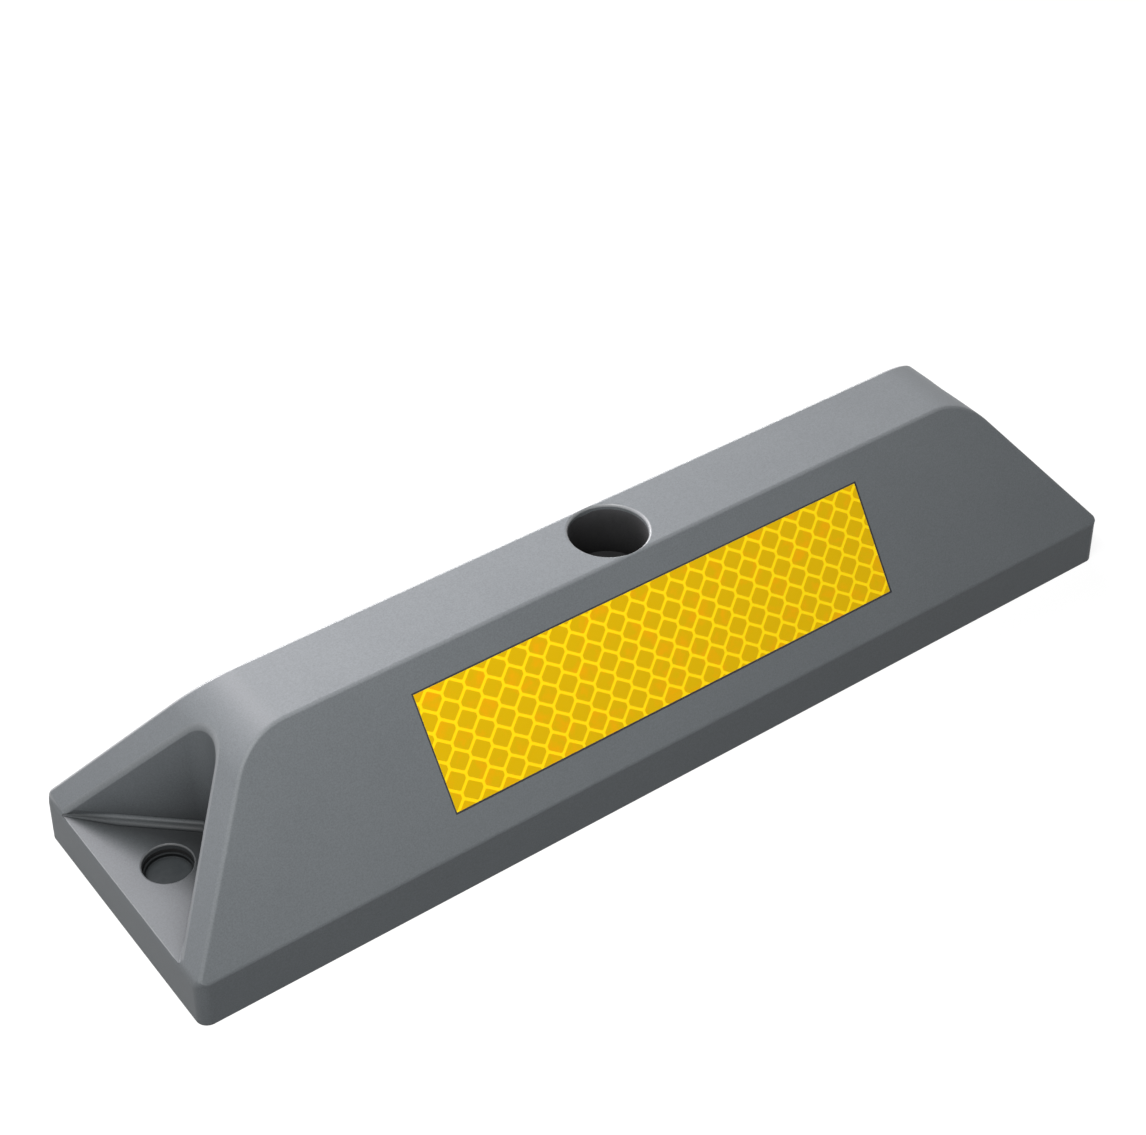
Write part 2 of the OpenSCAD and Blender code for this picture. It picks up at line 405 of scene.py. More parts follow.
def crown_height(x):
    """Height of the top, the roll or the ramp at a distance along the block."""
    roll_back = ROLL_R * math.tan(RAMP_ANGLE / 2)
    roll_x = TOP_HALF_L - roll_back
    ramp_x = roll_x + ROLL_R * math.sin(RAMP_ANGLE)
    if abs(x) <= roll_x:
        return HEIGHT
    if abs(x) <= ramp_x:
        return HEIGHT - ROLL_R + math.sqrt(ROLL_R ** 2 - (abs(x) - roll_x) ** 2)
    return PLINTH_H + (HALF_L - PLINTH_DRAFT - abs(x)) * math.tan(RAMP_ANGLE)


def recess_outline(distance):
    """The plan of the right recess from its mouth around its apex, moved out by a distance."""
    apex_x = HALF_L - RECESS_REACH - distance / math.sin(RECESS_HALF_ANGLE)
    radius = RECESS_APEX_R + distance
    centre_x = apex_x + radius / math.sin(RECESS_HALF_ANGLE)
    spread = math.pi / 2 - RECESS_HALF_ANGLE
    leave_x = centre_x - radius * math.cos(spread)
    side_xs = [HALF_L + REACH] + [leave_x + share * (HALF_L - leave_x) for share in RECESS_SIDE_SHARES]
    side = [(x, (x - apex_x) * math.tan(RECESS_HALF_ANGLE)) for x in side_xs]
    turns = [spread * (2 * step / RECESS_ARC_STEPS - 1) for step in range(RECESS_ARC_STEPS + 1)]
    arc = [(centre_x - radius * math.cos(turn), radius * math.sin(turn)) for turn in turns]
    return [(x, -y) for x, y in side] + arc + [(x, y) for x, y in reversed(side)]


def ledge_shares():
    """How much of the ledge there is at each point of a recess outline."""
    side = [LEDGE_END_SHARE]
    for share in RECESS_SIDE_SHARES:
        faded = LEDGE_END_SHARE + max(0.0, LEDGE_FADE_FROM - share) / LEDGE_FADE_OVER
        side.append(min(1.0, faded))
    return side + [1.0] * (RECESS_ARC_STEPS + 1) + side[::-1]


def recess_cutter(side, distance):
    """A recess as a stack of rings, with its faces moved out by a distance: floor, ledge, wall, mouth."""
    floor_z = PLINTH_H - distance
    ledge_z = floor_z + LEDGE_H
    rings = [(-LEDGE_W, floor_z, None)]
    for step in range(LEDGE_ROUND_STEPS + 1):
        turn = math.pi / 2 * step / LEDGE_ROUND_STEPS
        rings.append((LEDGE_ROUND_W * (1 - math.cos(turn)) - LEDGE_W,
                      floor_z + LEDGE_FOOT_H + (LEDGE_H - LEDGE_FOOT_H) * math.sin(turn), None))
    for step in range(1, LEDGE_ROUND_STEPS + 1):
        turn = WALL_FOOT_TURN * step / LEDGE_ROUND_STEPS
        rings.append((WALL_FOOT_R * (math.sin(turn) - 1), ledge_z + WALL_FOOT_R * (1 - math.cos(turn)), None))
    rings.append((0.0, ledge_z + WALL_FOOT_R, None))
    first_mouth = len(rings)
    for step in range(MOUTH_ROUND_STEPS + 1):
        turn = MOUTH_ROUND_TURN * step / MOUTH_ROUND_STEPS
        rings.append((MOUTH_ROUND_OUT * (1 - math.cos(turn)), None, MOUTH_ROUND_DOWN * (1 - math.sin(turn))))
    rings.append((MOUTH_ROUND_OUT + MOUTH_CLEAR_OUT, None, -MOUTH_CLEAR_UP))
    stack = []
    wall = recess_outline(distance)
    for out, height, depth in rings:
        ring = []
        for i, ((x, y), share) in enumerate(zip(recess_outline(distance + out), ledge_shares())):
            if height is None:
                z = crown_height(x) - depth
            else:
                x, y = Vector(wall[i]).lerp(Vector((x, y)), share)
                z = floor_z + share * (height - floor_z)
            lowest = stack[-1][i][2] + RING_RISE if stack else z
            ring.append((side * x, y, max(z, lowest)))
        stack.append(ring)
    stack.append([(x, y, HEIGHT + REACH) for x, y, z in stack[-1]])
    cage = Cage()
    for level, (lower, upper) in enumerate(zip(stack[:-1], stack[1:])):
        kind = "mouth" if level >= first_mouth and distance == 0 else "recess"
        cage.band(lower, upper, [kind] * len(lower), split=True)
    cage.face(stack[0], "recess_floor")
    cage.face(stack[-1], "recess")
    return cage.piece("recess_cutter")


def cut_bore(piece, x, radius, low, high, mouth, mouth_kind):
    """Cuts an upright bore with a rounded mouth of the given kind."""
    rings = [(radius, low)]
    for step in range(BORE_ROUND_STEPS + 1):
        turn = BORE_ROUND_TURN * step / BORE_ROUND_STEPS
        rings.append((radius + mouth * (1 - math.cos(turn)), high - mouth * (1 - math.sin(turn))))
    rings.append((radius + BORE_CLEAR_OUT * mouth, high + BORE_CLEAR_UP * mouth))
    rings.append((radius + BORE_CLEAR_OUT * mouth, high + REACH))
    turns = [2 * math.pi * step / BORE_STEPS for step in range(BORE_STEPS)]
    points = [[(x + r * math.cos(turn), r * math.sin(turn), z) for turn in turns] for r, z in rings]
    cage = Cage()
    for level, (lower, upper) in enumerate(zip(points[:-1], points[1:])):
        kind = mouth_kind if 1 <= level <= BORE_ROUND_STEPS else "cut"
        cage.band(lower, upper, [kind] * BORE_STEPS)
    cage.face(points[0], "cut")
    cage.face(points[-1], "cut")
    cut(piece, cage.piece("bore_cutter"))


def on_front_slope(x, up, out):
    """A point given along the block, up the front slope from the plinth's edge, and out of it."""
    return Vector((
        x,
        -(HALF_W - PLINTH_DRAFT) + up * math.cos(SLOPE_ANGLE) - out * math.sin(SLOPE_ANGLE),
        PLINTH_H + up * math.sin(SLOPE_ANGLE) + out * math.cos(SLOPE_ANGLE),
    ))


def slope_slab(name, border, low, high, kind):
    """A flat box on the front slope, centred on the sheet, between two heights above the slope."""
    half = SHEET_HALF_L + border
    foot = SHEET_UP - border
    head = SHEET_UP + SHEET_W + border
    ring = [(-half, foot), (half, foot), (half, head), (-half, head)]
    lower, upper = [[on_front_slope(x, up, out) for x, up in ring] for out in (low, high)]
    cage = Cage()
    cage.face(lower, kind)
    cage.face(upper, kind)
    cage.band(lower, upper, [kind] * len(ring))
    return cage.piece(name)


def round_edges(piece, radius_of, segments, level_turn):
    """Rounds edges with the radius that radius_of gives for each."""
    bm = bmesh.new()
    bm.from_mesh(piece.data)
    bmesh.ops.remove_doubles(bm, verts=bm.verts, dist=MERGE)
    bmesh.ops.dissolve_limit(
        bm, angle_limit=level_turn, verts=bm.verts, edges=bm.edges, delimit={"MATERIAL"})
    layer = bm.edges.layers.float.new("bevel_weight_edge")
    widths = {}
    for edge in bm.edges:
        if len(edge.link_faces) != 2:
            continue
        turn = edge.calc_face_angle(0.0)
        radius = radius_of(edge) if turn > SMOOTH_TURN else 0.0
        if radius > 0:
            widths[edge] = radius * math.tan(turn / 2)
    largest = max(widths.values())
    for edge, width in widths.items():
        edge[layer] = width / largest
    bm.to_mesh(piece.data)
    bm.free()
    bevel = piece.modifiers.new("rounding", "BEVEL")
    bevel.limit_method = "WEIGHT"
    bevel.offset_type = "OFFSET"
    bevel.width = largest
    bevel.segments = segments
    bevel.use_clamp_overlap = False
    bevel.material = KINDS.index("round") if len(piece.data.materials) == len(KINDS) else -1
    baked(piece)
    weights = piece.data.attributes.get("bevel_weight_edge")
    if weights:
        piece.data.attributes.remove(weights)
    return piece


def mark_edges(piece):
    """Notes where the rounded edges are, for their painted highlight and their gloss."""
    faces = [set() for _ in piece.data.vertices]
    for polygon in piece.data.polygons:
        for corner in polygon.vertices:
            faces[corner].add(polygon.material_index)
    painted_light_and_gloss = piece.data.attributes.new("edge_highlight_and_gloss", "FLOAT", "POINT")
    for vertex, kinds in zip(piece.data.vertices, faces):
        highlight_and_gloss = min(EDGE_HIGHLIGHT_AND_GLOSS.get(KINDS[kind], 0.0) for kind in kinds)
        on_hip = kinds == {KINDS.index("round")} and vertex.co.z > PLINTH_H
        if on_hip and vertex.co.y > TOP_HALF_W / 2:
            highlight_and_gloss = REAR_HIP_HIGHLIGHT_AND_GLOSS
        painted_light_and_gloss.data[vertex.index].value = highlight_and_gloss


def shade_smooth(piece):
    """Shades the piece smooth between its sharp edges, and its large faces flat."""
    bm = bmesh.new()
    bm.from_mesh(piece.data)
    bmesh.ops.remove_doubles(bm, verts=bm.verts, dist=MERGE)
    for face in bm.faces:
        face.smooth = True
    for edge in bm.edges:
        edge.smooth = len(edge.link_faces) == 2 and edge.calc_face_angle(0.0) < SHARP_TURN
    bm.to_mesh(piece.data)
    bm.free()
    weighted = piece.modifiers.new("normals", "WEIGHTED_NORMAL")
    weighted.mode = "FACE_AREA"
    weighted.keep_sharp = True
    return baked(piece)


def sill_cutter(side):
    """Takes the sharp edge off the sill of a recess, and leaves a round one that fades out at the ledge."""
    wall_x = HALF_L - PLINTH_DRAFT
    apex_x = HALF_L - RECESS_REACH
    ledge_w = LEDGE_W * LEDGE_END_SHARE - SILL_END_CLEAR

    def section(share, radius):
        profile = [(wall_x + SILL_CLEAR, PLINTH_H + SILL_CLEAR), (wall_x - radius, PLINTH_H + SILL_CLEAR)]
        for step in range(SILL_STEPS + 1):
            turn = math.pi / 2 - SILL_TURN + (2 * SILL_TURN - math.pi / 2) * step / SILL_STEPS
            profile.append((wall_x - radius + radius * math.sin(turn),
                            PLINTH_H - radius + radius * math.cos(turn)))
        profile.append((wall_x + SILL_CLEAR, PLINTH_H - radius))
        points = []
        for x, z in profile:
            half = (x - apex_x) * math.tan(RECESS_HALF_ANGLE) - ledge_w / math.cos(RECESS_HALF_ANGLE)
            points.append((side * x, share * half, z))
        return points

    sections = [section(share, radius) for share, radius in SILL_SECTIONS]
    kinds = ["cut"] * 2 + ["lip"] * SILL_STEPS + ["cut"] * 2
    cage = Cage()
    for near, far in zip(sections[:-1], sections[1:]):
        cage.band(near, far, kinds, split=True)
    cage.face(sections[0], "cut")
    cage.face(sections[-1], "cut")
    return cage.piece("sill_cutter")


def to_metres(piece):
    """The piece at its real size."""
    piece.data.transform(Matrix.Scale(MM, 4))
    piece.data.update()
    return piece


def skin_radius(edge):
    """The rounding of an edge of the skin, from the kinds of its two faces."""
    kinds = tuple(sorted(KINDS[face.material_index] for face in edge.link_faces))
    if kinds == ("slope", "wall") and edge.verts[0].co.y > 0:
        return REAR_PLINTH_ROUND
    return SKIN_ROUNDINGS.get(kinds, 0.0)


def make_skin():
    """The moulded skin: a shell with rounded outer edges, open at its foot."""
    skin = block_form("skin", 0.0, LIP_SHOWN, None)
    round_edges(skin, skin_radius, ROUNDING_SEGMENTS, SKIN_LEVEL_TURN)
    for side in (-1, 1):
        cut(skin, recess_cutter(side, 0.0))
        cut(skin, sill_cutter(side))
    for x in (-END_ANCHOR_X, END_ANCHOR_X):
        cut_bore(skin, x, CAP_BORE_R, PLINTH_H - CAP_BORE_DEPTH, PLINTH_H, CAP_BORE_MOUTH, "mouth")
    cut_bore(skin, 0.0, HEAD_BORE_R, HEIGHT - HEAD_BORE_DEPTH, HEIGHT, HEAD_BORE_MOUTH, "lip")
    cut(skin, slope_slab("seat_cutter", BACKING_BORDER, -SHEET_T - BACKING_T, REACH, "cut"))
    filling = block_form("filling", SKIN_T, -REACH, "cut")
    for side in (-1, 1):
        cut(filling, recess_cutter(side, SKIN_T))
    cut(skin, filling)
    mark_edges(skin)
    return to_metres(shade_smooth(skin))


def core_radius(edge):
    """The rounding of an edge of the core: only the rims of its holes and pockets have one."""
    on_ground = all(corner.co.z < TOUCH for corner in edge.verts)
    inside = all(abs(corner.co.x) < HALF_L - SKIN_T and abs(corner.co.y) < HALF_W - SKIN_T
                 for corner in edge.verts)
    return CORE_ROUND if on_ground and inside else 0.0


def make_core():
    """The rubber core: the frame's own form, with soft rims around its pockets."""
    mesh = bpy.data.objects["core"].data.copy()
    mesh.transform(Matrix.Scale(1 / MM, 4))
    inner_x = HALF_L - SKIN_T - LIP_CLEAR
    inner_y = HALF_W - SKIN_T - LIP_CLEAR
    for corner in mesh.vertices:
        outside = abs(corner.co.x) > inner_x or abs(corner.co.y) > inner_y
        if outside and corner.co.z < LIP_T + TOUCH:
            corner.co.z = LIP_SHOWN if corner.co.z > TOUCH else 0.0
            past_x = abs(corner.co.x) - (HALF_L - FRAME_CORNER_R)
            past_y = abs(corner.co.y) - (HALF_W - FRAME_CORNER_R)
            if past_x > -TOUCH and past_y > -TOUCH:
                turn = math.atan2(max(past_y, 0.0), max(past_x, 0.0))
                turn = round(turn / FOOT_CORNER_STEP) * FOOT_CORNER_STEP
                x = HALF_L - FOOT_CORNER_R + FOOT_CORNER_R * math.cos(turn)
                y = HALF_W - FOOT_CORNER_R + FOOT_CORNER_R * math.sin(turn)
                corner.co.x = math.copysign(x, corner.co.x)
                corner.co.y = math.copysign(y, corner.co.y)
    core = put_in_scene("rubber_core", mesh)
    round_edges(core, core_radius, CORE_ROUND_STEPS, CORE_LEVEL_TURN)
    return to_metres(shade_smooth(core))


def quarter(centre_r, centre_z, radius, start):
    """Points of a quarter round in a turned profile, from a start angle, clockwise."""
    turns = [start - math.pi / 2 * step / CAP_ROUND_STEPS for step in range(CAP_ROUND_STEPS + 1)]
    return [(centre_r + radius * math.cos(turn), centre_z + radius * math.sin(turn)) for turn in turns]


def make_cap(name, x):
    """A bolt cap: a shallow dish with a raised rim, hollow below."""
    outer = CAP_BORE_R - CAP_CLEARANCE
    foot = PLINTH_H - CAP_BORE_DEPTH
    top = PLINTH_H - CAP_SUNK
    dish = top - CAP_RIM_H
    soft = CAP_SOFT_R
    profile = [(outer - CAP_WALL, foot), (outer - soft, foot), (outer, foot + soft)]
    profile += reversed(quarter(outer - soft, top - soft, soft, math.pi / 2))
    profile += [(outer - CAP_RIM_W + soft, top), (outer - CAP_RIM_W, top - soft)]
    profile += [(outer - CAP_RIM_W, dish + soft), (outer - CAP_RIM_W - soft, dish)]
    profile += [(0.0, dish), (0.0, dish - CAP_TOP_T), (outer - CAP_WALL, dish - CAP_TOP_T)]
    cage = Cage()
    turns = [2 * math.pi * step / BORE_STEPS for step in range(BORE_STEPS)]
    for turn, after in zip(turns, turns[1:] + turns[:1]):
        for (r0, z0), (r1, z1) in zip(profile, profile[1:] + profile[:1]):
            corners = [(x + r0 * math.cos(turn), r0 * math.sin(turn), z0),
                       (x + r0 * math.cos(after), r0 * math.sin(after), z0),
                       (x + r1 * math.cos(after), r1 * math.sin(after), z1),
                       (x + r1 * math.cos(turn), r1 * math.sin(turn), z1)]
            corners = list(dict.fromkeys(corners))
            if len(corners) > 2:
                cage.face(corners, "cut")
    return to_metres(shade_smooth(cage.piece(name)))


class Tree:
    """A node tree that is built node by node.

    A value is a number, a colour, an output, or a node that stands for its first output.
    """

    def __init__(self, node_tree):
        self.nodes = node_tree.nodes
        self.links = node_tree.links

    def feed(self, socket, value):
        """Links a socket to an output, or sets its own value."""
        if isinstance(value, bpy.types.Node):
            value = value.outputs[0]
        if isinstance(value, bpy.types.NodeSocket):
            self.links.new(value, socket)
        else:
            socket.default_value = value

    def add(self, kind, values=None, **settings):
        """Adds a node with its values and its settings."""
        made = self.nodes.new(kind)
        for name, value in settings.items():
            setattr(made, name, value)
        for name, value in (values or {}).items():
            self.feed(made.inputs[name], value)
        return made

    def math(self, operation, *values):
        """A Math node."""
        return self.add("ShaderNodeMath", dict(enumerate(values)), operation=operation)

    def mix(self, share, first, second):
        """A colour between two, by the share of the second."""
        made = self.add("ShaderNodeMix", data_type="RGBA")
        sockets = [socket for socket in made.inputs if socket.enabled and socket.name in ("Factor", "A", "B")]
        for socket, value in zip(sockets, (share, first, second)):
            self.feed(socket, value)
        return [socket for socket in made.outputs if socket.enabled][0]

    def ranged(self, value, start, end, low=0.0, high=1.0):
        """Low up to a start value, high from an end value on, and even between them."""
        values = {"Value": value, "From Min": start, "From Max": end, "To Min": low, "To Max": high}
        return self.add("ShaderNodeMapRange", values)

    def noise(self, place, per_metre, detail, break_up=EVEN_BREAK_UP):
        """Soft noise from 0 to 1."""
        values = {"Vector": place, "Scale": per_metre, "Detail": detail, "Roughness": break_up}
        return self.add("ShaderNodeTexNoise", values)

    def scaled(self, vector, factor):
        """A colour or a vector times a factor."""
        return self.add("ShaderNodeVectorMath", {0: vector, "Scale": factor}, operation="SCALE")

    def place(self):
        """The place on the object, in metres."""
        return self.add("ShaderNodeTexCoord").outputs["Object"]

    def parts(self, vector):
        """The X, Y and Z of a vector."""
        return self.add("ShaderNodeSeparateXYZ", {0: vector}).outputs

    def only_inside(self, inside, tone):
        """The tone where inside is 1, and 1 where it is 0."""
        return self.math("ADD", 1.0, self.math("MULTIPLY", inside, self.math("SUBTRACT", tone, 1.0)))


def new_group(name, inputs, outputs):
    """A shader node group with its sockets, its tree and what its inputs give."""
    group = bpy.data.node_groups.new(name, "ShaderNodeTree")
    for socket, kind, value in inputs:
        group.interface.new_socket(socket, in_out="INPUT", socket_type=kind).default_value = value
    for socket, kind in outputs:
        group.interface.new_socket(socket, in_out="OUTPUT", socket_type=kind)
    tree = Tree(group)
    return group, tree, tree.add("NodeGroupInput").outputs


def moulded_grain():
    """The surface of moulded rubber and plastic: soft patches of tone, and a fine grain."""
    group, tree, given = new_group("moulded grain", (
        ("Colour", "NodeSocketColor", MIDDLE_GREY),
        ("Patch colour", "NodeSocketColor", MIDDLE_GREY),
        ("Patches per metre", "NodeSocketFloat", 20),
        ("Grains per metre", "NodeSocketFloat", 1500),
        ("Grain contrast", "NodeSocketFloat", 0.05),
        ("Smoothest", "NodeSocketFloat", 0.4),
        ("Roughest", "NodeSocketFloat", 0.6),
    ), (("Colour", "NodeSocketColor"), ("Roughness", "NodeSocketFloat"), ("Height", "NodeSocketFloat")))
    place = tree.place()
    patches = tree.noise(place, given["Patches per metre"], PATCH_DETAIL, PATCH_BREAK_UP)
    grain = tree.noise(place, given["Grains per metre"], GRAIN_DETAIL)
    patchy = tree.mix(tree.ranged(patches, *PATCH_RANGE), given["Colour"], given["Patch colour"])
    darkest = tree.math("SUBTRACT", 1.0, given["Grain contrast"])
    lightest = tree.math("ADD", 1.0, given["Grain contrast"])
    tree.add("NodeGroupOutput", {
        "Colour": tree.scaled(patchy, tree.ranged(grain, *GRAIN_RANGE, darkest, lightest)),
        "Roughness": tree.ranged(grain, *GRAIN_RANGE, given["Smoothest"], given["Roughest"]),
        "Height": grain})
    return group


def painted_shade_and_edge_highlights():
    """A surface's own colour and roughness, with painted shade in its hollows and a painted highlight and
    more gloss along its edges.
    """
    group, tree, given = new_group("painted shade and edge highlights", (
        ("Colour", "NodeSocketColor", MIDDLE_GREY),
        ("Roughness", "NodeSocketFloat", 0.5),
        ("Local tone", "NodeSocketFloat", 1.0),
    ), (("Colour", "NodeSocketColor"), ("Roughness", "NodeSocketFloat")))
    # Ambient occlusion makes the colour darker in hollows: painted shade
    hollow = tree.add("ShaderNodeAmbientOcclusion", {"Distance": HOLLOW_REACH}, samples=HOLLOW_SAMPLES,
                      only_local=True)
    hollow_tone = tree.ranged(hollow.outputs["AO"], HOLLOW_CLOSED, HOLLOW_OPEN, HOLLOW_PAINTED_SHADE)
    shaded = tree.scaled(given["Colour"], tree.math("MULTIPLY", hollow_tone, given["Local tone"]))
    # Edges mixed towards white carry a painted highlight, and their lower roughness a real gloss
    highlight_and_gloss = tree.add("ShaderNodeAttribute", attribute_name="edge_highlight_and_gloss").outputs["Fac"]
    tree.add("NodeGroupOutput", {
        "Colour": tree.mix(tree.math("MULTIPLY", highlight_and_gloss, EDGE_HIGHLIGHT_TONE), shaded, WHITE),
        "Roughness": tree.math("MULTIPLY_ADD", highlight_and_gloss, -EDGE_GLOSS, given["Roughness"])})
    return group


def recess_painted_shadow(tree):
    """The tone of the painted shadow in each recess, cast by its rear wall: darkest in its rear corner, and 1
    elsewhere.
    """
    spot = tree.parts(tree.place())
    along = tree.math("ABSOLUTE", spot["X"])
    depth = tree.math("SUBTRACT", HALF_L * MM, along)
    from_apex = tree.math("SUBTRACT", along, (HALF_L - RECESS_REACH) * MM)
    to_walls = tree.math("MULTIPLY", from_apex, math.sin(RECESS_HALF_ANGLE))
    across = tree.math("MULTIPLY", spot["Y"], math.cos(RECESS_HALF_ANGLE))
    from_rear_wall = tree.math("SUBTRACT", to_walls, across)
    share = tree.math("DIVIDE", from_rear_wall, tree.math("MAXIMUM", depth, MM))
    thinned = tree.math("SQRT", tree.math("MAXIMUM", tree.math("MULTIPLY", share, RECESS_SHADOW_THINNING), 0.0))
    low, high = [(PLINTH_H + height) * MM for height in RECESS_SHADOW_HEIGHTS]
    deepest = tree.ranged(spot["Z"], low, high, RECESS_SHADOW_DARKEST, RECESS_SHADOW_LEDGE_TONE)
    painted_shadow = tree.math("MINIMUM", tree.math("MAXIMUM", thinned, deepest), RECESS_SHADOW_LIGHTEST)
    clear_of_walls = tree.math("SUBTRACT", to_walls, tree.math("ABSOLUTE", across))
    on_floor = tree.math("MULTIPLY", tree.math("GREATER_THAN", depth, RECESS_SHADOW_START * MM),
                         tree.math("LESS_THAN", spot["Z"], (PLINTH_H + RECESS_SHADOW_TOP) * MM))
    inside = tree.math("MULTIPLY", tree.math("GREATER_THAN", clear_of_walls, 0.0), on_floor)
    return tree.only_inside(inside, painted_shadow)


def bore_painted_light_tone(tree):
    """The tone of the core's head bore, with painted light near its mouth and painted shade towards its foot,
    and 1 elsewhere.
    """
    spot = tree.parts(tree.place())
    foot = HEIGHT - HEAD_BORE_DEPTH
    painted_light_tone = tree.ranged(spot["Z"], foot * MM, HEIGHT * MM, BORE_FOOT_PAINTED_TONE, BORE_TOP_PAINTED_TONE)
    flat = tree.add("ShaderNodeCombineXYZ", {"X": spot["X"], "Y": spot["Y"]})
    radius = tree.add("ShaderNodeVectorMath", {0: flat}, operation="LENGTH").outputs["Value"]
    inside = tree.math("MULTIPLY", tree.math("LESS_THAN", radius, (HEAD_BORE_R + BORE_PAINT_CLEAR) * MM),
                       tree.math("GREATER_THAN", spot["Z"], (foot + TOUCH) * MM))
    return tree.only_inside(inside, painted_light_tone)


def rim_painted_shade(tree):
    """The tone of the painted shade on a cap's raised rim, and 1 on its dish."""
    height = tree.parts(tree.place())["Z"]
    dish = PLINTH_H - CAP_SUNK - CAP_RIM_H
    return tree.ranged(height, (dish + CAP_SOFT_R) * MM, (dish + CAP_RIM_H / 2) * MM, 1.0, RIM_SHADE_TONE)


def emptied(owner):
    """The tree of a material or a world, without nodes."""
    owner.use_nodes = True
    tree = Tree(owner.node_tree)
    tree.nodes.clear()
    return tree


def moulded_finish(name, groups, values, bump, specular, local_tone=None):
    """A moulded material with its own values of the shared groups."""
    material = bpy.data.materials.new(name)
    tree = emptied(material)
    grain, edges = groups
    surface = tree.add("ShaderNodeGroup", values, node_tree=grain).outputs
    painted_light_and_gloss = tree.add("ShaderNodeGroup", {"Colour": surface["Colour"], "Roughness": surface["Roughness"]},
                    node_tree=edges)
    if local_tone:
        tree.feed(painted_light_and_gloss.inputs["Local tone"], local_tone(tree))
    relief = tree.add("ShaderNodeBump", {"Height": surface["Height"], "Distance": bump, "Strength": 1.0})
    shader = tree.add("ShaderNodeBsdfPrincipled", {
        "Base Color": painted_light_and_gloss.outputs["Colour"], "Roughness": painted_light_and_gloss.outputs["Roughness"],
        "Normal": relief, "Specular IOR Level": specular})
    tree.add("ShaderNodeOutputMaterial", {"Surface": shader})
    return material


def sheet_finish():
    """Reflective sheet: bright seal lines, darker cells of uneven tone and a clear glossy film."""
    material = bpy.data.materials.new("reflective sheet")
    tree = emptied(material)
    tone = tree.add("ShaderNodeAttribute", attribute_name="cell_tone").outputs["Fac"]
    place = tree.place()
    prisms = tree.add("ShaderNodeTexVoronoi", {"Vector": place, "Scale": PRISMS_PER_METRE})
    spread = tree.math("SUBTRACT", tree.noise(place, MISTS_PER_METRE, MIST_DETAIL), NOISE_MIDDLE)
    uneven = tree.math("MULTIPLY_ADD", spread, MIST_SPREAD, tone)
    cell = tree.mix(tree.ranged(uneven, *WARM_RANGE), (*CELL_YELLOW, 1), (*CELL_ORANGE, 1))
    is_cell = tree.math("GREATER_THAN", tone, LOWEST_CELL_TONE / 2)
    colour = tree.mix(is_cell, (*SEAL_YELLOW, 1), cell)
    relief = tree.add("ShaderNodeBump", {"Height": prisms, "Distance": PRISM_RELIEF,
                                         "Strength": PRISM_STRENGTH})
    shader = tree.add("ShaderNodeBsdfPrincipled", {
        "Base Color": colour, "Normal": relief, **SHEET_FILM,
        "Emission Color": colour, "Emission Strength": SHEET_GLOW})
    tree.add("ShaderNodeOutputMaterial", {"Surface": shader})
    return material


